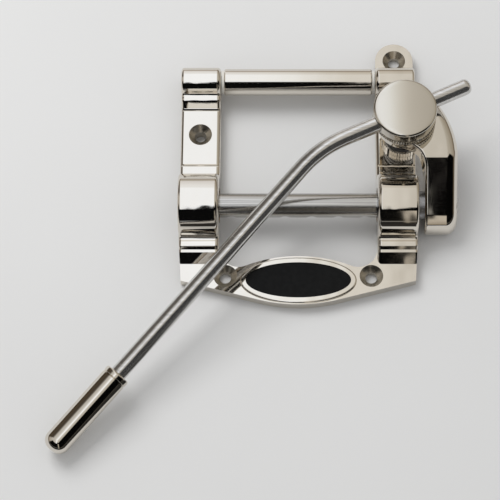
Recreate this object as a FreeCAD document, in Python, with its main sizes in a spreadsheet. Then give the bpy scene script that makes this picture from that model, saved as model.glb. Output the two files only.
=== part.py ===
import FreeCAD, Part
import Sketcher
import math
import os
import re

# Vibrato tailpiece for a string instrument.
# Frame: X across the strings, Y towards the bridge, Z up from the instrument's top.
# The origin lies on the base plane, halfway between the two tail screw holes.

DOC = FreeCAD.newDocument("vibrato_tailpiece")
SHEET = DOC.addObject("Spreadsheet::Sheet", "sizes")
V = FreeCAD.Vector

# Driving dimensions in millimetres, angles in degrees, counts as whole numbers.
SIZES = {
    # frame casting
    "plate_t": 4.5, "arm_w": 16.0, "foot_inset": 1.0, "foot_front": -2.0,
    "tip_front": -11.9, "front_arc_r": 62.0, "crown_top": 8.4,
    "corner_r": 7.5, "corner_y": 11.3,
    "drum_r": 12.55, "shaft_y": 27.45, "shaft_z": 10.5,
    "foot_start": 5.0, "foot_angle": 33.0, "ledge_rise": 2.55, "ledge_end": 10.1,
    "step_angle": 50.0, "shelf_rise": 3.8, "shelf_r": 0.8, "drum_foot_r": 1.2,
    "pad_rise": 2.3, "pad_start": 47.1, "pad_end": 70.6, "groove_w": 1.1, "groove_d": 0.5,
    "rise_gap": 0.2, "rise_angle": 50.0, "brow_rise": 2.8, "brow_r": 1.7, "wall_r": 1.5,
    "house_r": 5.9, "roller_y": 82.7, "roller_z": 8.8, "edge_out_r": 1.1, "edge_in_r": 1.6,
    "tab_y": 94.7, "tab_r": 7.65,
    # holes for countersunk wood screws
    "tail_hole_x": 28.575, "pad_hole_y": 60.2, "hole_shift": 0.2,
    "screw_hole": 4.6, "countersink": 9.2, "countersink_angle": 90.0,
    # oval inlay in its raised rim
    "oval_a": 20.6, "oval_b": 7.4, "oval_y": -2.0, "rim_w": 2.2, "rim_rise": 0.9,
    "rim_round": 0.6, "inlay_t": 1.6, "inlay_below": 0.35, "inlay_gap": 0.05,
    # string shaft and its bearings
    "shaft_r": 4.7625, "bush_wall": 2.2, "bush_inset": 0.5, "bush_gap": 0.04, "bush_flush": 0.6,
    "washer_t": 0.5, "clip_t": 0.7, "clip_groove": 0.7, "clip_r": 6.2, "end_inset": 0.2,
    "recess_depth": 2.0, "recess_wall": 0.5, "seat_gap": 0.02, "spacer_r": 5.6, "shaft_chamfer": 0.5,
    "string_count": 6, "string_pitch": 10.48, "string_hole_r": 0.9, "ball_r": 2.1,
    "ball_depth": 3.0, "string_angle": 25.0,
    # tension roller
    "roller_r": 5.37, "roller_half": 29.7, "axle_r": 2.5, "axle_end_inset": 2.5,
    "flange_r": 4.6, "flange_t": 1.1, "flange_gap": 0.2, "roller_bush_wall": 1.1, "roller_bush_len": 8.0,
    "roller_chamfer": 0.4, "grub_r": 1.5, "grub_inset": 0.8, "grub_hex": 1.5, "grub_hex_depth": 1.6,
    # lever bracket
    "lever_gap": 2.5, "lever_w": 12.9, "boss_r": 10.4, "boss_h": 6.6, "lever_top": 26.6,
    "crest_y": 44.0, "crest_r": 6.5, "lever_slope_angle": 30.0, "nose_r": 9.0, "nose_y": 26.2, "nose_z": 6.7,
    "lever_bottom": 1.0, "inner_arc_r": 10.3, "outer_arc_y": 43.3, "outer_arc_r": 36.7,
    "shoulder_r": 9.0, "outer_edge_r": 4.5, "inner_edge_r": 1.0, "under_start": 33.0, "under_angle": 60.0,
    "spigot_r": 3.5, "spigot_over": 0.3, "clamp_screw_r": 2.0, "clamp_hex": 2.0, "clamp_hex_depth": 1.8,
    # swivel post of the arm
    "post_shift": 2.5, "post_y": 58.1, "neck_r": 6.0, "neck_gap": 0.3, "neck_sink": 1.0,
    "friction_t": 0.6, "web_t": 3.0, "shank_r": 2.5, "swivel_bush_wall": 1.0, "run_gap": 0.05,
    "disc_t": 0.35, "disc_rise": 0.25, "disc_r": 4.6, "nut_flats": 8.0, "nut_t": 3.2, "shank_over": 0.8,
    # round head
    "head_r": 12.45, "head_h": 7.7, "head_lift": 0.3, "dome_rise": 1.0, "head_round": 0.6, "crown_round": 1.6,
    "knurl_count": 78, "knurl_depth": 0.42, "knurl_tip": 0.12, "knurl_above": 1.6, "knurl_below": 0.8,
    "arm_drop": 3.8, "liner_wall": 0.48, "liner_gap": 0.04, "liner_inset": 0.6,
    "arm_screw_r": 2.0, "arm_screw_inset": 1.0,
    # arm
    "rod_r": 3.175, "arm_turn_angle": 25.0, "arm_droop_angle": 9.3, "arm_bend_angle": 23.2,
    "short_end": 28.5, "bend_start": 36.9, "bend_r": 47.6, "run_out": 154.5, "tip_round": 2.4,
    "grip_len": 38.3, "grip_r": 5.1, "grip_sleeve": 30.0, "grip_dome": 4.2, "grip_groove": 0.35,
    "grip_groove_at": 2.2, "grip_groove_w": 0.7, "grip_top_round": 0.8,
    # spring and its tension wheel
    "wheel_r": 8.3, "wheel_t": 3.0, "wheel_gap": 0.1, "wheel_knurl_count": 48, "wheel_knurl_depth": 0.45,
    "stud_r": 3.0, "stud_over": 0.6, "stud_sink": 4.0, "seat_t": 0.6, "seat_r": 7.0, "seat_lip": 0.2,
    "seat_drop": 1.0, "wire_r": 0.8, "coil_r": 5.9, "coil_count": 4.0, "spring_seat_gap": 0.05,
    # overrun of every cut
    "overrun": 1.0,
}

# Dimensions that follow from the ones above.
DERIVED = {
    "arm_in": "roller_half + flange_t + flange_gap",
    "arm_out": "arm_in + arm_w",
    "arm_mid": "arm_in + arm_w / 2",
    "foot_half": "arm_out - foot_inset",
    "corner_x": "arm_in - corner_r",
    "pad_z": "plate_t + pad_rise",
    "hole_x": "arm_mid + hole_shift",
    "lever_in": "arm_out + lever_gap",
    "lever_out": "lever_in + lever_w",
    "lever_mid": "lever_in + lever_w / 2",
    "boss_bottom": "lever_top - boss_h",
    "post_x": "arm_mid + post_shift",
    "web_top": "lever_top - neck_sink - friction_t",
    "web_bottom": "web_top - web_t",
    "head_bottom": "lever_top + head_lift",
    "rod_height": "head_bottom + head_h - arm_drop",
    "clip_face": "arm_out - recess_depth + washer_t",
    "wheel_bottom": "pad_z + wheel_gap",
    "seat_bottom": "wheel_bottom + wheel_t - seat_drop + spring_seat_gap",
    "spring_foot": "seat_bottom + seat_t + spring_seat_gap",
}


def fill_sheet():
    cells = [(alias, repr(value)) for alias, value in SIZES.items()]
    cells += [(alias, "=" + formula) for alias, formula in DERIVED.items()]
    for row, (alias, content) in enumerate(cells, start=1):
        SHEET.set("A%d" % row, alias.replace("_", " "))
        SHEET.setAlias("B%d" % row, alias)
        SHEET.set("B%d" % row, content)
    DOC.recompute()


fill_sheet()


def size(alias):
    return float(SHEET.get(alias))


def in_sheet(text):
    """Turns bare aliases of an expression into references to the sheet."""
    return re.sub(r"\b([a-z][a-z_0-9]*)\b(?!\()",
                  lambda m: "sizes." + m.group(1) if m.group(1) in SIZES or m.group(1) in DERIVED else m.group(1), text)


def value_of(text):
    result = SHEET.evalExpression(in_sheet(text))
    return float(getattr(result, "Value", result))


def bind(target, prop, text):
    target.setExpression(prop, in_sheet(text))


# Bodies, sketches and features

def new_body(label):
    body = DOC.addObject("PartDesign::Body", label)
    body.Label = label
    return body


def new_sketch(body, role, name, lift="0"):
    sketch = body.newObject("Sketcher::SketchObject", name)
    plane = [item for item in body.Origin.OriginFeatures if item.Role == role][0]
    sketch.AttachmentSupport = [(plane, "")]
    sketch.MapMode = "FlatFace"
    bind(sketch, "AttachmentOffset.Base.z", lift)
    return sketch


def hold(sketch, index, end, axis, text):
    """Holds one end of an edge at a distance given by the sheet."""
    here = value_of(text)
    if here == 0:
        sketch.addConstraint(Sketcher.Constraint("PointOnObject", index, end, -2 if axis == "X" else -1))
        return
    number = sketch.addConstraint(Sketcher.Constraint("Distance" + axis, index, end, here))
    bind(sketch, "Constraints[%d]" % number, text)


def draw_polygon(sketch, corners):
    """Closed polygon whose corners are pairs of expressions."""
    places = [V(value_of(x), value_of(y), 0) for x, y in corners]
    first = sketch.GeometryCount
    for here, there in zip(places, places[1:] + places[:1]):
        sketch.addGeometry(Part.LineSegment(here, there), False)
    count = len(places)
    for number in range(count):
        following = (number + 1) % count
        sketch.addConstraint(Sketcher.Constraint("Coincident", first + number, 2, first + following, 1))
        hold(sketch, first + number, 1, "X", corners[number][0])
        hold(sketch, first + number, 1, "Y", corners[number][1])


def draw_circle(sketch, x, y, radius):
    index = sketch.addGeometry(Part.Circle(V(value_of(x), value_of(y), 0), V(0, 0, 1), value_of(radius)), False)
    hold(sketch, index, 3, "X", x)
    hold(sketch, index, 3, "Y", y)
    number = sketch.addConstraint(Sketcher.Constraint("Radius", index, value_of(radius)))
    bind(sketch, "Constraints[%d]" % number, radius)
    return index


def draw_ellipse(sketch, x, y, half_long, half_short):
    middle = V(x, y, 0)
    sketch.addGeometry(Part.Ellipse(middle + V(half_long, 0, 0), middle + V(0, half_short, 0), middle), False)


def draw_path(sketch, start, steps):
    """Closed outline of lines and arcs; an arc gives its middle point and its end."""
    here = V(*start, 0)
    for step in steps:
        there = V(*step[-1], 0)
        if len(step) == 1:
            sketch.addGeometry(Part.LineSegment(here, there), False)
        else:
            sketch.addGeometry(Part.Arc(here, V(*step[0], 0), there), False)
        here = there


def finish_feature(body, feature, name):
    feature.Label = body.Label + "_" + name
    body.Tip = feature
    DOC.recompute()
    return feature


def pad(body, sketch, name, length, midplane=False):
    feature = body.newObject("PartDesign::Pad", name)
    feature.Profile = sketch
    bind(feature, "Length", length)
    feature.Midplane = midplane
    return finish_feature(body, feature, name)


def pocket(body, sketch, name, length=None, both_ways=False, turned=False):
    """Cuts along the sketch's normal, backwards unless turned."""
    before = body.Shape.Volume
    feature = body.newObject("PartDesign::Pocket", name)
    feature.Profile = sketch
    if length is None:
        feature.Type = "ThroughAll"
    else:
        bind(feature, "Length", length)
    feature.Midplane = both_ways
    feature.Reversed = turned
    finish_feature(body, feature, name)
    if not body.Shape.Volume < before:
        raise RuntimeError(body.Label + ": " + name + " cuts nothing")
    return feature


def turn(body, corners, name, kind="PartDesign::Revolution", role="XY_Plane"):
    """Revolves a half section about the sketch's horizontal axis."""
    sketch = new_sketch(body, role, name + "_section")
    draw_polygon(sketch, corners)
    feature = body.newObject(kind, name)
    feature.Profile = sketch
    feature.ReferenceAxis = (sketch, ["H_Axis"])
    feature.Angle = 360
    return finish_feature(body, feature, name)


def mirror(body, originals, name, role):
    """Mirrors some features, or the whole body when none is named."""
    feature = body.newObject("PartDesign::Mirrored", name)
    if originals:
        feature.Originals = originals
    else:
        feature.TransformMode = "Whole shape"
    plane = [item for item in body.Origin.OriginFeatures if item.Role == role][0]
    feature.MirrorPlane = (plane, [""])
    return finish_feature(body, feature, name)


def edge_names(shape, wanted):
    return ["Edge%d" % number for number, edge in enumerate(shape.Edges, start=1) if wanted(edge)]


def dress(body, kind, name, wanted, prop, text):
    """Fillet or chamfer on the edges that a test picks."""
    base = body.Tip
    names = edge_names(base.Shape, wanted)
    feature = body.newObject("PartDesign::" + kind, name)
    feature.Base = (base, names)
    bind(feature, prop, text)
    return finish_feature(body, feature, name)


def place(body, x="0", y="0", z="0", rotation=None):
    if rotation is not None:
        body.Placement = FreeCAD.Placement(V(0, 0, 0), rotation)
    bind(body, "Placement.Base.x", x)
    bind(body, "Placement.Base.y", y)
    bind(body, "Placement.Base.z", z)
    return body


# Turned pieces are drawn along their own X axis; these turn that axis where it belongs.
UPRIGHT = FreeCAD.Rotation(V(0, 1, 0), -90)
ALONG_X = FreeCAD.Rotation()


def at_circle(edge, radius, tolerance_share=0.001):
    curve = edge.Curve
    return isinstance(curve, Part.Circle) and abs(curve.Radius - radius) < radius * tolerance_share


def plan_of_tail(sketch):
    """Outline of the tail plate, which runs on under both bearing drums."""
    foot = (size("foot_half"), size("foot_front"))
    arm_out = size("arm_out")
    arm_in = size("arm_in")
    drum_front = size("shaft_y") - size("drum_r")
    back = size("shaft_y")
    tip = size("tip_front")
    bend = size("front_arc_r")
    # the front edge runs straight in from the foot and meets the tip's arc on a tangent
    centre_y = tip + bend
    reach = math.hypot(foot[0], foot[1] - centre_y)
    swing = math.atan2(foot[0], centre_y - foot[1]) - math.acos(bend / reach)
    touch = (bend * math.sin(swing), centre_y - bend * math.cos(swing))
    corner = (size("corner_x"), size("corner_y"))
    corner_r = size("corner_r")
    crown = size("crown_top")
    rise = corner[1] - crown
    crown_r = (corner[0] ** 2 + rise ** 2 - corner_r ** 2) / (2 * (corner_r - rise))
    crown_y = crown - crown_r
    part = corner_r / (corner_r + crown_r)
    kiss = (corner[0] - corner[0] * part, corner[1] - (corner[1] - crown_y) * part)
    low = (corner[0], corner[1] - corner_r)
    knee = (corner[0] + corner_r, corner[1])
    half = math.sqrt(0.5)
    draw_path(sketch, (-touch[0], touch[1]), [
        ((0, tip), touch),
        (foot,),
        ((arm_out, drum_front),),
        ((arm_out, back),),
        ((arm_in, back),),
        (knee,),
        ((corner[0] + corner_r * half, corner[1] - corner_r * half), low),
        (arc_middle(corner, low, kiss), kiss),
        ((0, crown), (-kiss[0], kiss[1])),
        (arc_middle((-corner[0], corner[1]), (-kiss[0], kiss[1]), (-low[0], low[1])), (-low[0], low[1])),
        ((-corner[0] - corner_r * half, corner[1] - corner_r * half), (-knee[0], knee[1])),
        ((-arm_in, back),),
        ((-arm_out, back),),
        ((-arm_out, drum_front),),
        ((-foot[0], foot[1]),),
        ((-touch[0], touch[1]),),
    ])


def plan_of_tab(sketch):
    """Round tab behind the right roller housing."""
    tab = (size("hole_x"), size("tab_y"))
    tab_r = size("tab_r")
    start = size("roller_y")
    draw_path(sketch, (tab[0] + tab_r, start), [
        ((tab[0] + tab_r, tab[1]),),
        ((tab[0], tab[1] + tab_r), (tab[0] - tab_r, tab[1])),
        ((tab[0] - tab_r, start),),
        ((tab[0] + tab_r, start),),
    ])


def arc_middle(centre, start, end):
    """Point halfway along the shorter arc between two points about a centre."""
    middle = V((start[0] + end[0]) / 2, (start[1] + end[1]) / 2, 0) - V(*centre, 0)
    radius = math.hypot(start[0] - centre[0], start[1] - centre[1])
    middle.normalize()
    return (centre[0] + radius * middle.x, centre[1] + radius * middle.y)


def side_of_arm(sketch):
    """Side view of one arm: stepped foot, bearing drum, screw pad and roller housing."""
    plate = size("plate_t")
    axis = (size("shaft_y"), size("shaft_z"))
    drum = size("drum_r")
    front = axis[0] - drum
    back = axis[0] + drum
    half = math.sqrt(0.5)
    lean = 1 - half
    # the foot: a slope up to a narrow ledge, a step up to the shelf, and a small fillet up the drum
    slope = math.radians(size("foot_angle"))
    step = math.radians(size("step_angle"))
    start = size("foot_start")
    ledge_z = plate + size("ledge_rise")
    ledge_start = start + size("ledge_rise") / math.tan(slope)
    ledge_end = size("ledge_end")
    shelf_z = plate + size("shelf_rise")
    shelf_r = size("shelf_r")
    brow = ledge_end + (shelf_z - ledge_z) / math.tan(step)
    cut = shelf_r * math.tan(step / 2)
    step_end = (brow - cut * math.cos(step), shelf_z - cut * math.sin(step))
    shelf_start = (brow + cut, shelf_z)
    shelf_centre = (shelf_start[0], shelf_z - shelf_r)
    below = plate / 2
    heel = start - below / math.tan(slope)
    foot_r = size("drum_foot_r")
    # a hollow behind the drum, the screw pad, and a step up to the ledge under the housing
    pad_z = size("pad_z")
    hollow_r = axis[1] - pad_z
    hollow = (back + hollow_r, axis[1])
    rise = math.radians(size("rise_angle"))
    rise_start = size("pad_end") + size("groove_w") + size("rise_gap")
    brow_z = pad_z + size("brow_rise")
    brow_r = size("brow_r")
    edge = rise_start + (brow_z - pad_z) / math.tan(rise)
    trim = brow_r * math.tan(rise / 2)
    rise_end = (edge - trim * math.cos(rise), brow_z - trim * math.sin(rise))
    brow_start = (edge + trim, brow_z)
    house = (size("roller_y"), size("roller_z"))
    house_r = size("house_r")
    # the ledge's hollow touches the housing's round
    wall_r = size("wall_r")
    lift = brow_z + wall_r - house[1]
    hollow_c = (house[0] - math.sqrt((house_r + wall_r) ** 2 - lift ** 2), brow_z + wall_r)
    part = wall_r / (house_r + wall_r)
    kiss = (hollow_c[0] + (house[0] - hollow_c[0]) * part, hollow_c[1] + (house[1] - hollow_c[1]) * part)
    rear = house[0] + house_r
    draw_path(sketch, (heel, 0), [
        ((heel, plate - below),),
        ((ledge_start, ledge_z),),
        ((ledge_end, ledge_z),),
        (step_end,),
        (arc_middle(shelf_centre, step_end, shelf_start), shelf_start),
        ((front - foot_r, shelf_z),),
        ((front - foot_r * lean, shelf_z + foot_r * lean), (front, shelf_z + foot_r)),
        ((front, axis[1]),),
        ((axis[0], axis[1] + drum), (back, axis[1])),
        (arc_middle(hollow, (back, axis[1]), (hollow[0], pad_z)), (hollow[0], pad_z)),
        ((rise_start, pad_z),),
        (rise_end,),
        (arc_middle((brow_start[0], brow_z - brow_r), rise_end, brow_start), brow_start),
        ((hollow_c[0], brow_z),),
        (arc_middle(hollow_c, (hollow_c[0], brow_z), kiss), kiss),
        ((house[0], house[1] + house_r), (rear, house[1])),
        ((rear, 0),),
        ((heel, 0),),
    ])


def screw_holes(body, name, places, lift):
    """Clearance holes with countersinks, from a face at the given height."""
    sketch = new_sketch(body, "XY_Plane", name + "_places", lift)
    for x, y in places:
        draw_circle(sketch, x, y, "screw_hole / 2")
    DOC.recompute()
    before = body.Shape.Volume
    feature = body.newObject("PartDesign::Hole", name)
    feature.Profile = sketch
    DOC.recompute()
    feature.ThreadType = "None"
    bind(feature, "Diameter", "screw_hole")
    feature.HoleCutType = "Countersink"
    bind(feature, "HoleCutDiameter", "countersink")
    bind(feature, "HoleCutCountersinkAngle", "countersink_angle")
    feature.DepthType = "ThroughAll"
    finish_feature(body, feature, name)
    if not body.Shape.Volume < before:
        raise RuntimeError(name + " cuts nothing")
    return feature


def make_frame():
    body = new_body("frame")
    body.AllowCompound = True
    side = new_sketch(body, "YZ_Plane", "arm_side", "arm_in")
    side_of_arm(side)
    pad(body, side, "right_arm", "arm_w")
    near = size("seat_gap")

    def top_edge(side):
        def wanted(edge):
            box = edge.BoundBox
            return box.XLength < near and abs(box.XMin - side) < near and box.ZMin > near
        return wanted

    dress(body, "Fillet", "outer_edges", top_edge(size("arm_out")), "Radius", "edge_out_r")
    dress(body, "Fillet", "inner_edges", top_edge(size("arm_in")), "Radius", "edge_in_r")
    for name, start, way in (("front_groove", "pad_start", "-"), ("rear_groove", "pad_end", "+")):
        groove = new_sketch(body, "YZ_Plane", name + "_outline", "arm_in - overrun")
        draw_polygon(groove, [
            (start, "pad_z + overrun"),
            (start, "pad_z"),
            (start + way + "groove_w / 2", "pad_z - groove_d"),
            (start + way + "groove_w", "pad_z"),
            (start + way + "groove_w", "pad_z + overrun"),
        ])
        pocket(body, groove, name, "arm_w + 2 * overrun", turned=True)
    foot_line = new_sketch(body, "XY_Plane", "foot_side")
    draw_polygon(foot_line, [
        ("foot_half", "foot_front"),
        ("arm_out + overrun", "foot_front"),
        ("arm_out + overrun", "shaft_y - drum_r"),
        ("arm_out", "shaft_y - drum_r"),
    ])
    pocket(body, foot_line, "foot_trim", turned=True)
    mirror(body, [], "left_arm", "YZ_Plane")
    plan = new_sketch(body, "XY_Plane", "tail_outline")
    plan_of_tail(plan)
    pad(body, plan, "tail_plate", "plate_t")
    tab = new_sketch(body, "XY_Plane", "tab_outline")
    plan_of_tab(tab)
    pad(body, tab, "tab", "plate_t")
    rim = new_sketch(body, "XY_Plane", "rim_outline")
    draw_ellipse(rim, 0, size("oval_y"), size("oval_a") + size("rim_w"), size("oval_b") + size("rim_w"))
    pad(body, rim, "oval_rim", "plate_t + rim_rise")
    rim_top = size("plate_t") + size("rim_rise")
    dress(body, "Fillet", "rim_rounding",
          lambda e: not e.Degenerated and isinstance(e.Curve, Part.Ellipse) and abs(e.CenterOfMass.z - rim_top) < size("seat_gap"),
          "Radius", "rim_round")
    recess = new_sketch(body, "XY_Plane", "inlay_outline", "plate_t + rim_rise")
    draw_ellipse(recess, 0, size("oval_y"), size("oval_a"), size("oval_b"))
    pocket(body, recess, "inlay_recess", "inlay_t + inlay_below")
    bore = new_sketch(body, "YZ_Plane", "shaft_bore_place")
    draw_circle(bore, "shaft_y", "shaft_z", "shaft_r + bush_wall")
    pocket(body, bore, "bearing_bores", "2 * (arm_out + overrun)", both_ways=True)
    clip = new_sketch(body, "YZ_Plane", "clip_recess_place", "-arm_out")
    draw_circle(clip, "shaft_y", "shaft_z", "shaft_r + bush_wall + recess_wall")
    pocket(body, clip, "clip_recess", "recess_depth", turned=True)
    axle = new_sketch(body, "YZ_Plane", "axle_bore_place", "-(arm_out - axle_end_inset)")
    draw_circle(axle, "roller_y", "roller_z", "axle_r + seat_gap")
    pocket(body, axle, "axle_bore", "2 * arm_out", turned=True)
    screw = new_sketch(body, "XY_Plane", "axle_screw_place")
    draw_circle(screw, "arm_mid", "roller_y", "grub_r + seat_gap")
    pocket(body, screw, "axle_screw_hole", "roller_z", turned=True)
    stud = new_sketch(body, "XY_Plane", "stud_place", "pad_z")
    draw_circle(stud, "post_x", "post_y", "stud_r + seat_gap")
    pocket(body, stud, "stud_hole", "stud_sink")
    screw_holes(body, "base_screw_holes",
                [("-tail_hole_x", "0"), ("tail_hole_x", "0"), ("hole_x", "tab_y")], "plate_t")
    screw_holes(body, "pad_screw_hole", [("-hole_x", "pad_hole_y")], "pad_z")
    return place(body)


def make_inlay():
    body = new_body("oval_inlay")
    outline = new_sketch(body, "XY_Plane", "outline", "plate_t + rim_rise - inlay_below - inlay_t")
    gap = size("inlay_gap")
    draw_ellipse(outline, 0, size("oval_y"), size("oval_a") - gap, size("oval_b") - gap)
    pad(body, outline, "plate", "inlay_t")
    return place(body)


# String shaft, bearings and end parts, drawn along X about the shaft's axis

def make_bearings():
    for label, side in (("bearing_right", ""), ("bearing_left", "-")):
        inset = "bush_inset" if side == "" else "recess_depth"
        body = new_body(label)
        turn(body, [
            (side + "(arm_in + bush_flush)", "shaft_r + bush_gap"),
            (side + "(arm_out - %s)" % inset, "shaft_r + bush_gap"),
            (side + "(arm_out - %s)" % inset, "shaft_r + bush_wall - seat_gap"),
            (side + "(arm_in + bush_flush)", "shaft_r + bush_wall - seat_gap"),
        ], "bush")
        place(body, y="shaft_y", z="shaft_z")


def make_shaft():
    """Shaft with six string holes, a clip groove on the left and a clamped spigot on the right."""
    body = new_body("string_shaft")
    left = "-(arm_out - end_inset)"
    shoulder = "lever_in"
    turn(body, [
        (left, "0"),
        (left, "shaft_r - shaft_chamfer"),
        (left + " + shaft_chamfer", "shaft_r"),
        ("-clip_face - clip_t", "shaft_r"),
        ("-clip_face - clip_t", "shaft_r - clip_groove"),
        ("-clip_face", "shaft_r - clip_groove"),
        ("-clip_face", "shaft_r"),
        (shoulder, "shaft_r"),
        (shoulder, "spigot_r"),
        ("lever_out + spigot_over - shaft_chamfer", "spigot_r"),
        ("lever_out + spigot_over", "spigot_r - shaft_chamfer"),
        ("lever_out + spigot_over", "0"),
    ], "bar")
    for name, radius, depth in (("string_hole", "string_hole_r", None), ("ball_seat", "ball_r", "ball_depth")):
        lift = "0" if depth is None else "shaft_r - ball_depth"
        sketch = new_sketch(body, "XZ_Plane", name + "_place", lift)
        draw_circle(sketch, "-string_pitch * (string_count - 1) / 2", "0", radius)
        if depth is None:
            cut = pocket(body, sketch, name, "2 * (shaft_r + overrun)", both_ways=True)
        else:
            cut = pocket(body, sketch, name, "ball_depth + overrun", turned=True)
        row = body.newObject("PartDesign::LinearPattern", name + "_row")
        row.Originals = [cut]
        row.Direction = (sketch, ["H_Axis"])
        bind(row, "Length", "string_pitch * (string_count - 1)")
        row.Occurrences = int(size("string_count"))
        finish_feature(body, row, name + "_row")
    return place(body, y="shaft_y", z="shaft_z", rotation=FreeCAD.Rotation(V(1, 0, 0), size("string_angle")))


def ring(label, start, end, inner, outer, y="shaft_y", z="shaft_z", x="0", rotation=ALONG_X):
    """Plain ring along its own X axis."""
    body = new_body(label)
    turn(body, [(start, inner), (end, inner), (end, outer), (start, outer)], "ring")
    return place(body, x=x, y=y, z=z, rotation=rotation)


def make_shaft_ends():
    ring("thrust_washer", "-clip_face", "-clip_face + washer_t",
         "shaft_r + run_gap", "clip_r")
    ring("retaining_ring", "-clip_face - clip_t", "-clip_face",
         "shaft_r - clip_groove + seat_gap", "clip_r")
    ring("shaft_spacer", "arm_out - bush_inset", "lever_in",
         "shaft_r + seat_gap", "spacer_r")


# Tension roller on its fixed axle

def make_roller():
    roller = new_body("tension_roller")
    bore = "axle_r + roller_bush_wall + seat_gap"
    turn(roller, [
        ("-roller_half", bore),
        ("roller_half", bore),
        ("roller_half", "roller_r - roller_chamfer"),
        ("roller_half - roller_chamfer", "roller_r"),
        ("-roller_half + roller_chamfer", "roller_r"),
        ("-roller_half", "roller_r - roller_chamfer"),
    ], "tube")
    place(roller, y="roller_y", z="roller_z")
    for label, side in (("roller_bush_right", ""), ("roller_bush_left", "-")):
        bush = new_body(label)
        turn(bush, [
            (side + "(roller_half - roller_bush_len)", "axle_r + run_gap"),
            (side + "(roller_half + flange_t)", "axle_r + run_gap"),
            (side + "(roller_half + flange_t)", "flange_r"),
            (side + "roller_half", "flange_r"),
            (side + "roller_half", "axle_r + roller_bush_wall"),
            (side + "(roller_half - roller_bush_len)", "axle_r + roller_bush_wall"),
        ], "flanged_bush")
        place(bush, y="roller_y", z="roller_z")


def make_axle():
    axle = new_body("roller_axle")
    end = "(arm_out - axle_end_inset - seat_gap)"
    turn(axle, [
        ("-" + end, "0"),
        ("-" + end, "axle_r - roller_chamfer"),
        ("-" + end + " + roller_chamfer", "axle_r"),
        (end + " - roller_chamfer", "axle_r"),
        (end, "axle_r - roller_chamfer"),
        (end, "0"),
    ], "pin")
    place(axle, y="roller_y", z="roller_z")
    return grub_screw("axle_grub_screw", "grub_r", "roller_z - axle_r - grub_inset - seat_gap",
                      "grub_hex", "grub_hex_depth",
                      ("arm_mid", "roller_y", "grub_inset"), UPRIGHT)


def hexagon(sketch, flats):
    """Regular hexagon about the sketch's origin, given across its flats."""
    corner = value_of(flats) / math.sqrt(3)
    sides = 6
    places = [(corner * math.cos(math.radians(360 / sides * n)), corner * math.sin(math.radians(360 / sides * n)))
              for n in range(sides)]
    draw_path(sketch, places[-1], [(spot,) for spot in places])


def grub_screw(label, radius, length, flats, socket, spot, rotation):
    """Headless screw along its own X axis, with its hexagon socket at the start."""
    body = new_body(label)
    turn(body, [("0", "0"), ("0", radius), (length, radius), (length, "0")], "screw")
    key = new_sketch(body, "YZ_Plane", "socket_outline")
    hexagon(key, flats)
    pocket(body, key, "socket", socket, turned=True)
    return place(body, x=spot[0], y=spot[1], z=spot[2], rotation=rotation)


# Lever bracket on the end of the string shaft

def lever_side(sketch):
    """Side view: rounded nose about the shaft, sloping back, flat shoulder and raised underside."""
    lean = math.radians(size("lever_slope_angle"))
    nose = (size("nose_y"), size("nose_z"))
    nose_r = size("nose_r")
    bottom = size("lever_bottom")
    top = size("lever_top")
    crest = size("crest_y")
    touch = (nose[0] - nose_r * math.sin(lean), nose[1] + nose_r * math.cos(lean))
    crest_z = touch[1] + (crest - touch[0]) * math.tan(lean)
    crest = crest - (crest_z - top) / math.tan(lean)
    # the crest is rounded between the slope and the flat shoulder
    crest_r = size("crest_r")
    crest_cut = crest_r * math.tan(lean / 2)
    slope_end = (crest - crest_cut * math.cos(lean), top - crest_cut * math.sin(lean))
    flat_start = (crest + crest_cut, top)
    crest_centre = (flat_start[0], top - crest_r)
    heel = nose[0] - math.sqrt(nose_r ** 2 - (nose[1] - bottom) ** 2)
    far = size("post_y") + size("boss_r") + size("overrun")
    under = size("boss_bottom")
    start = size("under_start")
    rise = start + (under - bottom) / math.tan(math.radians(size("under_angle")))
    draw_path(sketch, (heel, bottom), [
        ((nose[0] - nose_r, nose[1]), touch),
        (slope_end,),
        (arc_middle(crest_centre, slope_end, flat_start), flat_start),
        ((far, top),),
        ((far, under),),
        ((rise, under),),
        ((start, bottom),),
        ((heel, bottom),),
    ])


def lever_plan(sketch):
    """Plan view: round boss over the spring, curved neck and straight outer limb."""
    post = (size("post_x"), size("post_y"))
    boss = size("boss_r")
    inner = size("lever_in")
    outer = size("lever_out")
    curve = size("inner_arc_r")
    front = size("nose_y") - size("nose_r") - size("overrun")
    # concave arc that leaves the inner wall and touches the boss
    centre_x = inner - curve
    centre = (centre_x, post[1] - math.sqrt((boss + curve) ** 2 - (post[0] - centre_x) ** 2))
    part = boss / (boss + curve)
    kiss = (post[0] + (centre[0] - post[0]) * part, post[1] + (centre[1] - post[1]) * part)
    # long outer arc, then the shoulder's smaller arc that comes round to the boss's far side
    long_r = size("outer_arc_r")
    long_c = (outer - long_r, size("outer_arc_y"))
    short_r = size("shoulder_r")
    far = post[1] + boss
    short_y = far - short_r
    short_c = (long_c[0] + math.sqrt((long_r - short_r) ** 2 - (short_y - long_c[1]) ** 2), short_y)
    along = V(short_c[0] - long_c[0], short_c[1] - long_c[1], 0)
    along.normalize()
    meet = (long_c[0] + along.x * long_r, long_c[1] + along.y * long_r)
    half = math.sqrt(0.5)
    draw_path(sketch, (inner, front), [
        ((outer, front),),
        ((outer, long_c[1]),),
        (arc_middle(long_c, (outer, long_c[1]), meet), meet),
        (arc_middle(short_c, meet, (short_c[0], far)), (short_c[0], far)),
        ((post[0], far),),
        ((post[0] - boss * half, post[1] + boss * half), (post[0] - boss, post[1])),
        (arc_middle(post, (post[0] - boss, post[1]), kiss), kiss),
        (arc_middle(centre, kiss, (inner, centre[1])), (inner, centre[1])),
        ((inner, front),),
    ])


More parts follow.
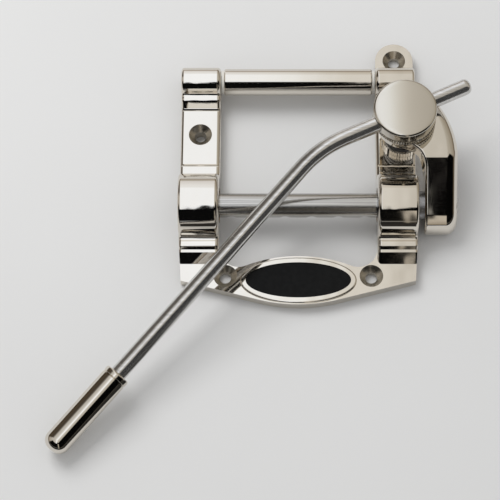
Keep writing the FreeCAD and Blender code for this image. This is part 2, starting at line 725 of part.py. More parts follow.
def make_lever():
    blank = new_body("lever_blank")
    side = new_sketch(blank, "YZ_Plane", "side_outline", "post_x - boss_r - overrun")
    lever_side(side)
    pad(blank, side, "limb", "lever_out - post_x + boss_r + 2 * overrun")
    around = new_sketch(blank, "XY_Plane", "plan_outline")
    lever_plan(around)
    reach = size("lever_out") + size("head_r")
    back = size("post_y") + size("boss_r") + size("head_r")
    draw_path(around, (0, 0), [((reach, 0),), ((reach, back),), ((0, back),), ((0, 0),)])
    pocket(blank, around, "trim_to_plan", turned=True)
    rounded = DOC.addObject("Part::Fillet", "lever_rounded")
    rounded.Base = blank
    rounded.Edges = lever_edges(blank.Shape)
    DOC.recompute()
    body = new_body("lever_bracket")
    body.BaseFeature = rounded
    DOC.recompute()
    hollow = new_sketch(body, "XY_Plane", "cup_bore_place", "web_bottom")
    draw_circle(hollow, "post_x", "post_y", "coil_r + wire_r + neck_gap")
    pocket(body, hollow, "cup_bore", "web_bottom")
    neck = new_sketch(body, "XY_Plane", "neck_recess_place", "lever_top")
    draw_circle(neck, "post_x", "post_y", "neck_r + neck_gap")
    pocket(body, neck, "neck_recess", "neck_sink + friction_t")
    post = new_sketch(body, "XY_Plane", "post_bore_place", "lever_top")
    draw_circle(post, "post_x", "post_y", "shank_r + swivel_bush_wall + seat_gap")
    pocket(body, post, "post_bore", "lever_top")
    bore = new_sketch(body, "YZ_Plane", "spigot_bore_place")
    draw_circle(bore, "shaft_y", "shaft_z", "spigot_r + seat_gap")
    pocket(body, bore, "spigot_bore", turned=True)
    clamp = new_sketch(body, "XY_Plane", "clamp_screw_place")
    draw_circle(clamp, "lever_mid", "shaft_y", "clamp_screw_r + seat_gap")
    pocket(body, clamp, "clamp_screw_hole", "shaft_z", turned=True)
    return place(body)


def lever_edges(shape):
    """Top outline's edges with their radii: large on the outer side, small on the inner side."""
    near = size("seat_gap")
    lean = math.tan(math.radians(size("lever_slope_angle")))
    large = size("outer_edge_r")
    small = size("inner_edge_r")
    chosen = []
    for number, edge in enumerate(shape.Edges, start=1):
        box = edge.BoundBox
        middle = edge.valueAt(edge.getParameterByLength(edge.Length / 2))
        upright = box.XLength < near and box.YLength < near
        across = box.YLength < near and middle.y < size("post_y")
        low = box.ZMax < size("nose_z") or abs(middle.z - size("boss_bottom")) < near
        slope_z = size("nose_z") + (middle.y - size("nose_y")) * lean
        beneath = middle.y > size("nose_y") and middle.z < slope_z + size("nose_r") / 2
        if upright or across or low or beneath:
            continue
        if middle.y > size("post_y") + size("boss_r") - near:
            start_x = edge.valueAt(edge.FirstParameter).x
            ends = (large, small) if start_x > middle.x else (small, large)
        elif middle.x > size("post_x") + size("boss_r") - near:
            ends = (large, large)
        else:
            ends = (small, small)
        chosen.append((number,) + ends)
    return chosen


# Swivel head with its neck and shank, and what holds it

def knurled_disc(radius, count, depth, height, base):
    """Straight-knurled disc about Z as one extruded star outline."""
    points = []
    steps = 2 * count
    for number in range(steps):
        reach = radius if number % 2 == 0 else radius - depth
        angle = 2 * math.pi * number / steps
        points.append(V(reach * math.cos(angle), reach * math.sin(angle), base))
    return Part.Face(Part.makePolygon(points + points[:1])).extrude(V(0, 0, height))


def section_solid(radius_height_steps):
    """Solid of revolution about Z from a closed half section of lines and arcs."""
    edges = []
    here = V(*radius_height_steps[0])
    for step in radius_height_steps[1:]:
        there = V(*step[-1])
        if len(step) == 1:
            edges.append(Part.makeLine(here, there))
        else:
            edges.append(Part.Arc(here, V(*step[0]), there).toShape())
        here = there
    return Part.Face(Part.Wire(edges)).revolve(V(0, 0, 0), V(0, 0, 1), 360)


def shape_object(label, shape, spot, rotation=None):
    item = DOC.addObject("Part::Feature", label)
    item.Label = label
    item.Shape = shape
    if rotation is not None:
        item.Placement = FreeCAD.Placement(V(0, 0, 0), rotation)
    bind(item, "Placement.Base.x", spot[0])
    bind(item, "Placement.Base.y", spot[1])
    bind(item, "Placement.Base.z", spot[2])
    return item


def arm_direction():
    turn_angle = math.radians(size("arm_turn_angle"))
    return V(-math.cos(turn_angle), -math.sin(turn_angle), 0)


def make_head():
    """Round head, domed on top and knurled round its rim, bored across for the arm, on a neck and shank."""
    radius = size("head_r")
    height = size("head_h")
    dome = size("dome_rise")
    sphere = (radius ** 2 + dome ** 2) / (2 * dome)
    centre_z = height + dome - sphere
    rim = size("head_round")
    crown = size("crown_round")
    # the crown's rounding touches both the rim and the dome
    crown_x = radius - crown
    crown_z = centre_z + math.sqrt((sphere - crown) ** 2 - crown_x ** 2)
    reach = sphere / (sphere - crown)
    touch = (crown_x * reach, 0, centre_z + (crown_z - centre_z) * reach)
    quarter = radius / 2
    half = math.sqrt(0.5)
    blank = section_solid([
        (0, 0, 0),
        ((radius - rim, 0, 0),),
        ((radius, 0, rim),),
        ((radius, 0, crown_z),),
        ((crown_x + crown * half, 0, crown_z + crown * half), touch),
        ((quarter, 0, centre_z + math.sqrt(sphere ** 2 - quarter ** 2)), (0, 0, height + dome)),
        ((0, 0, 0),),
    ])
    tip = size("knurl_tip")
    low = size("knurl_below")
    band = height - size("knurl_above") - low
    star = knurled_disc(radius + tip, int(size("knurl_count")), size("knurl_depth") + tip, band, low)
    sleeve = Part.makeCylinder(radius + dome, band, V(0, 0, low))
    head = blank.cut(sleeve.cut(star))
    neck_h = size("head_lift") + size("neck_sink")
    stack = size("friction_t") + size("web_t") + size("disc_t") + size("disc_rise") + size("nut_t")
    shank_len = stack + size("shank_over")
    neck = Part.makeCylinder(size("neck_r"), neck_h + rim, V(0, 0, -neck_h))
    shank = Part.makeCylinder(size("shank_r"), shank_len + rim, V(0, 0, -neck_h - shank_len))
    head = head.fuse([neck, shank])
    bore_r = size("rod_r") + size("liner_gap") + size("liner_wall") + size("run_gap")
    rod_z = height - size("arm_drop")
    along = arm_direction()
    bore = Part.makeCylinder(bore_r, 2 * (radius + dome), V(0, 0, rod_z) - along * (radius + dome), along)
    across = V(along.y, -along.x, 0)
    screw = Part.makeCylinder(size("arm_screw_r") + size("seat_gap"), radius + dome, V(0, 0, rod_z), across)
    head = head.cut([bore, screw])
    return shape_object("swivel_head", head, ("post_x", "post_y", "head_bottom"))


def make_swivel_fasteners():
    ring("friction_washer", "0", "friction_t", "shank_r + run_gap", "neck_r",
         x="post_x", y="post_y", z="web_top", rotation=UPRIGHT)
    ring("swivel_bush", "0", "web_t", "shank_r + run_gap", "shank_r + swivel_bush_wall",
         x="post_x", y="post_y", z="web_bottom", rotation=UPRIGHT)
    disc = new_body("disc_spring")
    turn(disc, [
        ("0", "disc_r"),
        ("-disc_rise", "shank_r + run_gap"),
        ("-disc_rise - disc_t", "shank_r + run_gap"),
        ("-disc_t", "disc_r"),
    ], "cone")
    place(disc, x="post_x", y="post_y", z="web_bottom", rotation=UPRIGHT)
    nut = new_body("swivel_nut")
    outline = new_sketch(nut, "XY_Plane", "nut_outline")
    hexagon(outline, "nut_flats")
    draw_circle(outline, "0", "0", "shank_r + seat_gap")
    pad(nut, outline, "hexagon", "nut_t")
    place(nut, x="post_x", y="post_y", z="web_bottom - disc_rise - disc_t - nut_t")
    along = arm_direction()
    across = V(along.y, -along.x, 0)
    start = "(head_r - arm_screw_inset)"
    inward = FreeCAD.Rotation(V(1, 0, 0), -across)
    length = "head_r - arm_screw_inset - rod_r - liner_gap - liner_wall - run_gap"
    grub_screw("arm_grub_screw", "arm_screw_r", length, "clamp_hex", "clamp_hex_depth",
               ("post_x + %s * sin(arm_turn_angle * -1)" % start, "post_y + %s * cos(arm_turn_angle)" % start, "rod_height"),
               inward)


def make_clamp_screw():
    grub_screw("clamp_screw", "clamp_screw_r", "shaft_z - spigot_r - seat_gap - lever_bottom - grub_inset",
               "clamp_hex", "clamp_hex_depth",
               ("lever_mid", "shaft_y", "lever_bottom + grub_inset"), UPRIGHT)


# Arm: liner, bent rod and grip

def arm_frame():
    """Rotation whose X runs along the rod's straight end and whose Y lies in the plane of its bend."""
    droop = math.radians(size("arm_droop_angle"))
    bend = math.radians(size("arm_bend_angle"))
    along = arm_direction()
    side = V(-along.y, along.x, 0)
    out = along * (math.cos(droop) * math.cos(bend)) + side * (math.cos(droop) * math.sin(bend))
    out = out - V(0, 0, 1) * math.sin(droop)
    normal = along.cross(out)
    normal.normalize()
    return FreeCAD.Rotation(along, normal.cross(along), normal, "ZXY")


def arm_angle():
    droop = math.radians(size("arm_droop_angle"))
    bend = math.radians(size("arm_bend_angle"))
    return math.acos(math.cos(droop) * math.cos(bend))


def make_liner():
    half = "(head_r - liner_inset)"
    along = FreeCAD.Rotation(V(1, 0, 0), arm_direction())
    return ring("arm_liner", "-" + half, half, "rod_r + liner_gap", "rod_r + liner_gap + liner_wall",
                x="post_x", y="post_y", z="rod_height", rotation=along)


def make_rod():
    """Rod swept along a straight end, one bend and a straight run into the grip."""
    body = new_body("arm_rod")
    angle = arm_angle()
    tangent = size("bend_r") * math.tan(angle / 2)
    start = -size("short_end")
    first = size("bend_start") - tangent
    knee = (size("bend_start"), 0)
    last = (knee[0] + tangent * math.cos(angle), tangent * math.sin(angle))
    middle = (first + size("bend_r") * math.sin(angle / 2), size("bend_r") * (1 - math.cos(angle / 2)))
    length = size("run_out") - size("grip_len") + size("grip_sleeve")
    end = (knee[0] + length * math.cos(angle), length * math.sin(angle))
    route = new_sketch(body, "XY_Plane", "route")
    route.addGeometry(Part.LineSegment(V(start, 0, 0), V(first, 0, 0)), False)
    route.addGeometry(Part.Arc(V(first, 0, 0), V(*middle, 0), V(*last, 0)), False)
    route.addGeometry(Part.LineSegment(V(*last, 0), V(*end, 0)), False)
    section = new_sketch(body, "YZ_Plane", "section", "-short_end")
    draw_circle(section, "0", "0", "rod_r")
    pipe = body.newObject("PartDesign::AdditivePipe", "bent_bar")
    pipe.Profile = section
    pipe.Spine = (route, ["Edge1", "Edge2", "Edge3"])
    finish_feature(body, pipe, "bent_bar")
    dress(body, "Fillet", "tip_rounding",
          lambda e: at_circle(e, size("rod_r")) and e.BoundBox.XMax < start + size("rod_r"),
          "Radius", "tip_round")
    return place(body, x="post_x", y="post_y", z="rod_height", rotation=arm_frame())


def make_grip():
    """Polished sleeve with a turned collar line, a blind bore and a rounded end."""
    body = new_body("arm_grip")
    turn(body, [
        ("0", "rod_r + seat_gap"),
        ("0", "grip_r"),
        ("grip_groove_at", "grip_r"),
        ("grip_groove_at + grip_groove_w / 2", "grip_r - grip_groove"),
        ("grip_groove_at + grip_groove_w", "grip_r"),
        ("grip_len", "grip_r"),
        ("grip_len", "0"),
        ("grip_sleeve + seat_gap", "0"),
        ("grip_sleeve + seat_gap", "rod_r + seat_gap"),
    ], "sleeve")
    dress(body, "Fillet", "end_dome",
          lambda e: at_circle(e, size("grip_r")) and e.BoundBox.XMin > size("grip_sleeve"),
          "Radius", "grip_dome")
    dress(body, "Fillet", "collar_rounding",
          lambda e: at_circle(e, size("grip_r")) and e.BoundBox.XMax < size("grip_groove_at") / 2,
          "Radius", "grip_top_round")
    frame = arm_frame()
    angle = arm_angle()
    knee = frame.multVec(V(size("bend_start"), 0, 0))
    out = frame.multVec(V(math.cos(angle), math.sin(angle), 0))
    spot = V(size("post_x"), size("post_y"), size("rod_height")) + knee
    spot = spot + out * (size("run_out") - size("grip_len"))
    body.Placement = FreeCAD.Placement(spot, FreeCAD.Rotation(V(1, 0, 0), out))
    return body


# Spring, its seat and the tension wheel

def make_wheel():
    """Knurled wheel on the stud, hollowed on top for the spring's seat."""
    radius = size("wheel_r")
    height = size("wheel_t")
    disc = knurled_disc(radius, int(size("wheel_knurl_count")), size("wheel_knurl_depth"), height, 0)
    bore = Part.makeCylinder(size("stud_r") + size("run_gap"), height)
    recess = Part.makeCylinder(size("seat_r") + size("seat_lip"), size("seat_drop"),
                               V(0, 0, height - size("seat_drop")))
    return shape_object("tension_wheel", disc.cut(bore).cut(recess), ("post_x", "post_y", "wheel_bottom"))


def make_seat():
    ring("spring_seat", "0", "seat_t", "stud_r + run_gap", "seat_r",
         x="post_x", y="post_y", z="seat_bottom", rotation=UPRIGHT)
    top = "seat_bottom + seat_t + stud_over"
    stud = new_body("tension_stud")
    turn(stud, [("pad_z - stud_sink", "0"), ("pad_z - stud_sink", "stud_r"), (top, "stud_r"), (top, "0")], "stud")
    place(stud, x="post_x", y="post_y", rotation=UPRIGHT)


def arc_through(start, tangent, end):
    """Circular arc from a point and its tangent to another point."""
    chord = end - start
    middle = start + chord * 0.5
    across = tangent - chord * (tangent.dot(chord) / chord.dot(chord))
    if across.Length < chord.Length * 1e-9:
        return Part.makeLine(start, end)
    turn_half = tangent.getAngle(chord)
    across.normalize()
    return Part.Arc(start, middle + across * (chord.Length / 2 * math.tan(turn_half / 2)), end).toShape()


def biarc(start, first, end, second):
    """Two arcs that join two points and share their tangents."""
    chord = end - start
    total = first + second
    scale = 2 * (1 - first.dot(second))
    lead = (-chord.dot(total) + math.sqrt(chord.dot(total) ** 2 + scale * chord.dot(chord))) / scale
    joint = (start + end + (first - second) * lead) * 0.5
    meeting = joint - (start + first * lead)
    meeting.normalize()
    return [arc_through(start, first, joint), arc_through(joint, meeting, end)]


def make_spring():
    """Open compression spring whose ends run straight for one wire diameter."""
    wire = size("wire_r")
    coil = size("coil_r")
    turns = size("coil_count")
    lead = 2 * wire
    bottom = size("spring_foot")
    top = size("web_bottom") - size("spring_seat_gap")
    climb = (top - bottom - 2 * wire) / (2 * math.pi * turns + 2 * lead / coil)
    steps = int(round(4 * turns))

    def spot(angle):
        return V(coil * math.cos(angle), coil * math.sin(angle), climb * (angle + lead / coil) + wire)

    def heading(angle):
        way = V(-coil * math.sin(angle), coil * math.cos(angle), climb)
        way.normalize()
        return way

    quarter = math.pi / 2
    begin = spot(0) - heading(0) * lead
    edges = [Part.makeLine(begin, spot(0))]
    for step in range(steps):
        low = step * quarter
        high = low + quarter
        edges += biarc(spot(low), heading(low), spot(high), heading(high))
    last = steps * quarter
    edges.append(Part.makeLine(spot(last), spot(last) + heading(last) * lead))
    route = Part.Wire(edges)
    section = Part.Wire(Part.makeCircle(wire, begin, heading(0)))
    shape = route.makePipeShell([section], True, False)
    gap = climb * 2 * math.pi - 2 * wire
    print("spring: least gap between turns %.2f mm" % gap)
    return shape_object("spring", shape, ("post_x", "post_y", "spring_foot"))


def check_document():
    for item in DOC.Objects:
        for word in ("Invalid", "Error"):
            if word in item.State:
                raise RuntimeError(item.Label + " is " + word)


def write_parts():
    os.makedirs("parts", exist_ok=True)
    pieces = [o for o in DOC.Objects if o.TypeId in ("PartDesign::Body", "Part::Feature") and not o.InListRecursive]
    for piece in pieces:
        if piece.Shape.isNull() or not piece.Shape.isValid() or len(piece.Shape.Solids) != 1:
            raise RuntimeError(piece.Label + " has no valid shape")
    for piece in pieces:
        piece.Shape.exportStep("parts/" + piece.Label + ".step")
        box = piece.Shape.BoundBox
        print("%-20s solids %d volume %9.1f  X %.1f %.1f Y %.1f %.1f Z %.2f %.2f" % (
            piece.Label, len(piece.Shape.Solids), piece.Shape.Volume,
            box.XMin, box.XMax, box.YMin, box.YMax, box.ZMin, box.ZMax))


make_frame()
make_inlay()
make_bearings()
make_shaft()
make_shaft_ends()
make_roller()
make_axle()
make_lever()
make_head()
make_swivel_fasteners()
make_clamp_screw()
make_liner()
make_rod()
make_grip()
make_wheel()
make_seat()
make_spring()
DOC.recompute()
check_document()
write_parts()
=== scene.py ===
import math

import bmesh
import bpy
from mathutils import Matrix, Vector


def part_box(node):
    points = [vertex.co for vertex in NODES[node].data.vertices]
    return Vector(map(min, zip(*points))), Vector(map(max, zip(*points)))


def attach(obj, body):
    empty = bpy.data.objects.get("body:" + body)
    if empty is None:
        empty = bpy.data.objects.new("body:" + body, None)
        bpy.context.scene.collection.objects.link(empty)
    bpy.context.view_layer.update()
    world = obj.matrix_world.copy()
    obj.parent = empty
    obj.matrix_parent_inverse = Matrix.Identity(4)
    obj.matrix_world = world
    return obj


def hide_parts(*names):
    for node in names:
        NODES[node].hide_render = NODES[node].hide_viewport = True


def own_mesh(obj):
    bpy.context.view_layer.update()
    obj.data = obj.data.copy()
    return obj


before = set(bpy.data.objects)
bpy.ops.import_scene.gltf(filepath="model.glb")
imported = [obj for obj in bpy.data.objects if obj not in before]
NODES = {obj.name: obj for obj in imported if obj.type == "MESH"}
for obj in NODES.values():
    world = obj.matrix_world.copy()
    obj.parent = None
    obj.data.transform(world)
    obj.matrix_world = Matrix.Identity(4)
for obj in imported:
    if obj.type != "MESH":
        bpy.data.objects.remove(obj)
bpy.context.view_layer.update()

MM = 0.001
SCENE = bpy.context.scene


# Camera at the photograph's viewing angle

ELEVATION = math.radians(67.331)
DISTANCE = 804.15 * MM
FOCAL_PX = 2025.7
IMAGE_PX = 500
AIM = Vector((-3.465, 45.0, 10.0)) * MM
AIM_DROP = 33.53 * MM
CENTRE_PX = 289.45
SENSOR_MM = 36.0
NEAR_CLIP = 0.01
FAR_CLIP = 20


def add_camera():
    forward = Vector((0, math.cos(ELEVATION), -math.sin(ELEVATION)))
    up = Vector((0, math.sin(ELEVATION), math.cos(ELEVATION)))
    right = Vector((1, 0, 0))
    data = bpy.data.cameras.new("camera")
    data.sensor_width = SENSOR_MM
    data.lens = SENSOR_MM * FOCAL_PX / IMAGE_PX
    data.shift_x = -(CENTRE_PX - IMAGE_PX / 2) / IMAGE_PX
    data.clip_start = NEAR_CLIP
    data.clip_end = FAR_CLIP
    camera = bpy.data.objects.new("camera", data)
    spot = AIM - up * AIM_DROP - forward * DISTANCE
    turn = Matrix((right, up, -forward)).transposed().to_4x4()
    camera.matrix_world = Matrix.Translation(spot) @ turn
    SCENE.collection.objects.link(camera)
    SCENE.camera = camera


add_camera()


# Node helpers

class Nodes:
    """Short way to build a node tree."""

    def __init__(self, tree):
        self.tree = tree
        tree.nodes.clear()

    def add(self, kind, **settings):
        node = self.tree.nodes.new(kind)
        for name, value in settings.items():
            setattr(node, name, value)
        return node

    def feed(self, node, **values):
        for name, value in values.items():
            self.into(value, node.inputs[name.replace("_", " ")])
        return node

    def into(self, value, socket):
        if isinstance(value, bpy.types.NodeSocket):
            self.tree.links.new(value, socket)
        else:
            socket.default_value = value

    def math(self, operation, a, b=0.0, clamp=False):
        node = self.add("ShaderNodeMath", operation=operation, use_clamp=clamp)
        self.into(a, node.inputs[0])
        self.into(b, node.inputs[1])
        return node.outputs[0]

    def parts(self, vector):
        """X, Y and Z of a vector."""
        node = self.add("ShaderNodeSeparateXYZ")
        self.into(vector, node.inputs[0])
        return node.outputs

    def ramp(self, value, stops, smooth=True):
        """Ramp of colours over stops from 0 to 1, where a bare number is a grey."""
        node = self.add("ShaderNodeValToRGB")
        node.color_ramp.interpolation = "EASE" if smooth else "LINEAR"
        points = node.color_ramp.elements
        while len(points) < len(stops):
            points.new(0.5)
        for point, (place, shade) in zip(points, stops):
            point.position = place
            point.color = ((shade,) * 3 if isinstance(shade, float) else shade) + (1,)
        self.into(value, node.inputs["Fac"])
        return node.outputs["Color"]

    def noise(self, where, scale, detail=3.0, roughness=0.5):
        node = self.add("ShaderNodeTexNoise")
        self.feed(node, Vector=where, Scale=scale, Detail=detail, Roughness=roughness)
        return node.outputs["Fac"]

    def stretch(self, where, turn=(0, 0, 0), scale=(1, 1, 1)):
        node = self.add("ShaderNodeMapping")
        self.feed(node, Vector=where, Rotation=turn, Scale=scale)
        return node.outputs["Vector"]

    def bump(self, height, strength, distance):
        node = self.add("ShaderNodeBump")
        self.feed(node, Height=height, Strength=strength, Distance=distance)
        return node.outputs["Normal"]

    def spread(self, value, low, high):
        """Value from 0 to 1, spread from low to high."""
        node = self.add("ShaderNodeMapRange")
        self.feed(node, Value=value, To_Min=low, To_Max=high)
        return node.outputs["Result"]

    def number_mix(self, share, a, b):
        node = self.add("ShaderNodeMix")
        for value, socket in ((share, 0), (a, 2), (b, 3)):
            self.into(value, node.inputs[socket])
        return node.outputs[0]

    def colour_mix(self, share, a, b, blend="MIX"):
        node = self.add("ShaderNodeMix", data_type="RGBA", blend_type=blend)
        for value, socket in ((share, 0), (a, 6), (b, 7)):
            self.into(value, node.inputs[socket])
        return node.outputs[2]


def new_material(name):
    material = bpy.data.materials.new(name)
    material.use_nodes = True
    nodes = Nodes(material.node_tree)
    shader = nodes.add("ShaderNodeBsdfPrincipled")
    output = nodes.add("ShaderNodeOutputMaterial")
    nodes.into(shader.outputs["BSDF"], output.inputs["Surface"])
    place = nodes.add("ShaderNodeTexCoord").outputs["Object"]
    return material, nodes, shader, place


def shaded(tint, share):
    return tuple(part * share for part in tint)


# Materials, with noise scales per metre

CAST_WAVES = 90.0
GLOSS_GRAIN = 900.0
TONE_PATCHES = 25.0
TONE_SHADE = 0.965
CAST_RELIEF = 0.4 * MM

SCREW_HOLES = ((-28.575, 0.0), (28.575, 0.0), (39.2, 94.7), (-39.2, 60.2))
COUNTERSINK_RADIUS = 4.65
SUNK_LOW = (0.56, 0.525, 0.46)
SUNK_HIGH = (0.66, 0.62, 0.55)
SUNK_ROUGH = (0.24, 0.34)

STREAK_SCALE = (25.0, 2200.0, 2200.0)
STREAK_SHADE = 0.78
STREAK_RELIEF = 0.02 * MM

STEEL_SHADE = 0.75
STEEL_RELIEF = 0.03 * MM


def plating(nodes, place, tint, rough, wave):
    """Colour, roughness and normal of polished plate with faint waves and uneven gloss."""
    broad = nodes.noise(place, CAST_WAVES, 1.0)
    fine = nodes.noise(place, GLOSS_GRAIN)
    tone = nodes.noise(place, TONE_PATCHES, 2.0)
    colour = nodes.ramp(tone, [(0.3, shaded(tint, TONE_SHADE)), (0.7, tint)])
    roughness = nodes.spread(fine, rough * 0.8, rough * 1.25)
    return colour, roughness, nodes.bump(broad, wave, CAST_RELIEF)


def polished_nickel(name, tint, rough, wave):
    """Plated piece with the same gloss all over."""
    material, nodes, shader, place = new_material(name)
    colour, roughness, normal = plating(nodes, place, tint, rough, wave)
    nodes.feed(shader, Base_Color=colour, Metallic=1.0, Roughness=roughness, Normal=normal)
    return material


def cast_nickel(name, tint, rough, wave):
    """Plated casting, duller and greyer in its machined countersinks."""
    material, nodes, shader, place = new_material(name)
    colour, roughness, normal = plating(nodes, place, tint, rough, wave)
    flat = nodes.stretch(place, scale=(1.0, 1.0, 0.0))
    nearest = 1.0
    for x, y in SCREW_HOLES:
        gap = nodes.add("ShaderNodeVectorMath", operation="DISTANCE")
        nodes.into(flat, gap.inputs[0])
        nodes.into((x * MM, y * MM, 0.0), gap.inputs[1])
        nearest = nodes.math("MINIMUM", gap.outputs["Value"], nearest)
    sunk = nodes.math("LESS_THAN", nearest, COUNTERSINK_RADIUS * MM)
    fine = nodes.noise(place, GLOSS_GRAIN)
    sunk_colour = nodes.ramp(fine, [(0.3, SUNK_LOW), (0.7, SUNK_HIGH)])
    sunk_roughness = nodes.spread(fine, *SUNK_ROUGH)
    nodes.feed(shader, Base_Color=nodes.colour_mix(sunk, colour, sunk_colour), Metallic=1.0,
               Roughness=nodes.number_mix(sunk, roughness, sunk_roughness), Normal=normal)
    return material


def brushed_bar(name, tint, rough, metallic, turns, split=0.0):
    """Ground bar stock with fine streaks along it; a bent bar's two turns meet at X = split."""
    material, nodes, shader, place = new_material(name)
    streaks = [nodes.noise(nodes.stretch(place, turn, STREAK_SCALE), 1.0) for turn in turns]
    streak = streaks[0]
    if len(streaks) == 2:
        past = nodes.math("GREATER_THAN", nodes.parts(place)["X"], split)
        streak = nodes.number_mix(past, *streaks)
    colour = nodes.ramp(streak, [(0.35, shaded(tint, STREAK_SHADE)), (0.65, tint)])
    nodes.feed(shader, Base_Color=colour, Metallic=metallic,
               Roughness=nodes.spread(streak, rough * 0.9, rough * 1.1),
               Normal=nodes.bump(streak, 0.2, STREAK_RELIEF))
    return material


def plain_metal(name, tint, rough, grain=1500.0):
    material, nodes, shader, place = new_material(name)
    fine = nodes.noise(place, grain, 4.0, 0.6)
    colour = nodes.ramp(fine, [(0.35, shaded(tint, STEEL_SHADE)), (0.65, tint)])
    nodes.feed(shader, Base_Color=colour, Metallic=1.0,
               Roughness=nodes.spread(fine, rough * 0.8, rough * 1.3),
               Normal=nodes.bump(fine, 0.15, STEEL_RELIEF))
    return material


def nylon(name):
    material, nodes, shader, place = new_material(name)
    fine = nodes.noise(place, 700.0)
    colour = nodes.ramp(fine, [(0.3, (0.78, 0.76, 0.7)), (0.7, (0.84, 0.82, 0.76))])
    nodes.feed(shader, Base_Color=colour, Roughness=nodes.spread(fine, 0.38, 0.5), IOR=1.53,
               Normal=nodes.bump(fine, 0.1, 0.05 * MM))
    return material


def black_enamel(name):
    material, nodes, shader, place = new_material(name)
    fine = nodes.noise(place, 400.0)
    broad = nodes.noise(place, 60.0, 1.0)
    nodes.feed(shader, Base_Color=nodes.ramp(fine, [(0.3, 0.004), (0.7, 0.007)]),
               Roughness=nodes.spread(fine, 0.16, 0.24), IOR=1.2,
               Normal=nodes.bump(broad, 0.08, 0.3 * MM))
    return material


WARM = (0.76, 0.715, 0.645)
# turns of the arm's long run and of its end in the head, which meet at the bend
RUN_TURN = (0.0, 0.0, -math.radians(48.2))
END_TURN = (0.0, 0.0, -math.radians(25.0))
BEND_X = 8 * MM

NICKEL = cast_nickel("nickel_cast", WARM, 0.04, wave=0.2)
NICKEL_TURNED = polished_nickel("nickel_turned", WARM, 0.05, wave=0.06)
NICKEL_KNOB = polished_nickel("nickel_knob", (0.655, 0.615, 0.545), 0.12, wave=0.04)
BAR_X = brushed_bar("stainless_shaft", (0.58, 0.565, 0.54), 0.19, 1.0, [(0.0, 0.0, 0.0)])
BAR_ARM = brushed_bar("stainless_arm", (0.75, 0.735, 0.715), 0.12, 0.89, [RUN_TURN, END_TURN],
                      split=BEND_X)
SMALL = plain_metal("steel_small", (0.42, 0.42, 0.43), 0.35)
WIRE = plain_metal("spring_wire", (0.5, 0.5, 0.5), 0.25)
BRONZE = plain_metal("bronze", (0.5, 0.33, 0.16), 0.42, 2500.0)
NYLON = nylon("nylon")
BLACK = black_enamel("black_enamel")

LOOKS = {
    "frame": NICKEL, "lever_bracket": NICKEL,
    "swivel_head": NICKEL_KNOB, "arm_grip": NICKEL_TURNED,
    "tension_roller": NICKEL_TURNED, "tension_wheel": NICKEL_TURNED,
    "oval_inlay": BLACK,
    "string_shaft": BAR_X, "arm_rod": BAR_ARM,
    "bearing_left": BRONZE, "bearing_right": BRONZE, "swivel_bush": BRONZE,
    "thrust_washer": NYLON, "friction_washer": NYLON, "arm_liner": NYLON,
    "roller_bush_left": NYLON, "roller_bush_right": NYLON,
    "spring": WIRE, "disc_spring": WIRE,
}


def dress_nodes():
    for name, item in NODES.items():
        item.data.materials.clear()
        item.data.materials.append(LOOKS.get(name, SMALL))


dress_nodes()


# Knob with a smooth rim over its knurled foot, in millimetres

KNOB_RADIUS = 12.45
KNOB_HEIGHT = 8.3
KNOB_DOME = 0.4
KNOB_TOP = KNOB_HEIGHT + KNOB_DOME
KNOB_CROWN = 1.0
KNOB_LIP = 0.6
LIP_BEND = 0.29
CROWN_STEPS = 10
DOME_RINGS = 8
TEETH = 78
TOOTH_DEPTH = 0.42
TOOTH_SHAPE = (0.0, 0.55, 1.0, 0.55)
BAND_LOW = 0.8
BAND_HIGH = 3.3
BAND_EASE = 0.2
NECK_RADIUS = 6.0
NECK_LENGTH = 1.3
SHANK_RADIUS = 2.5
SHANK_LENGTH = 8.2
BORE_RADIUS = 3.745
BORE_DEPTH = 4.4
SCREW_BORE = 2.02
BORE_SIDES = 64
ARM_TURN = math.radians(25.0)
KNOB_SHARP = math.radians(35)


def knob_profile():
    """Half section as radius, height and depth of the teeth, from the shank's foot to the top."""
    foot = -NECK_LENGTH
    bend = KNOB_LIP * LIP_BEND
    points = [
        (SHANK_RADIUS, foot - SHANK_LENGTH, 0), (SHANK_RADIUS, foot, 0),
        (NECK_RADIUS, foot, 0), (NECK_RADIUS, 0, 0),
        (KNOB_RADIUS - KNOB_LIP, 0, 0), (KNOB_RADIUS - bend, bend, 0), (KNOB_RADIUS, KNOB_LIP, 0),
        (KNOB_RADIUS, BAND_LOW, 0), (KNOB_RADIUS, BAND_LOW + BAND_EASE, 1),
        (KNOB_RADIUS, BAND_HIGH - BAND_EASE, 1), (KNOB_RADIUS, BAND_HIGH, 0),
    ]
    sphere = (KNOB_RADIUS ** 2 + KNOB_DOME ** 2) / (2 * KNOB_DOME)
    centre = KNOB_TOP - sphere
    turn_r = KNOB_RADIUS - KNOB_CROWN
    turn_z = centre + math.sqrt((sphere - KNOB_CROWN) ** 2 - turn_r ** 2)
    last = math.atan2(turn_z - centre, turn_r)
    for step in range(CROWN_STEPS + 1):
        angle = last * step / CROWN_STEPS
        points.append((turn_r + KNOB_CROWN * math.cos(angle),
                       turn_z + KNOB_CROWN * math.sin(angle), 0))
    edge = points[-1][0]
    for ring in range(1, DOME_RINGS):
        radius = edge * (1 - ring / DOME_RINGS)
        points.append((radius, centre + math.sqrt(sphere ** 2 - radius ** 2), 0))
    return points


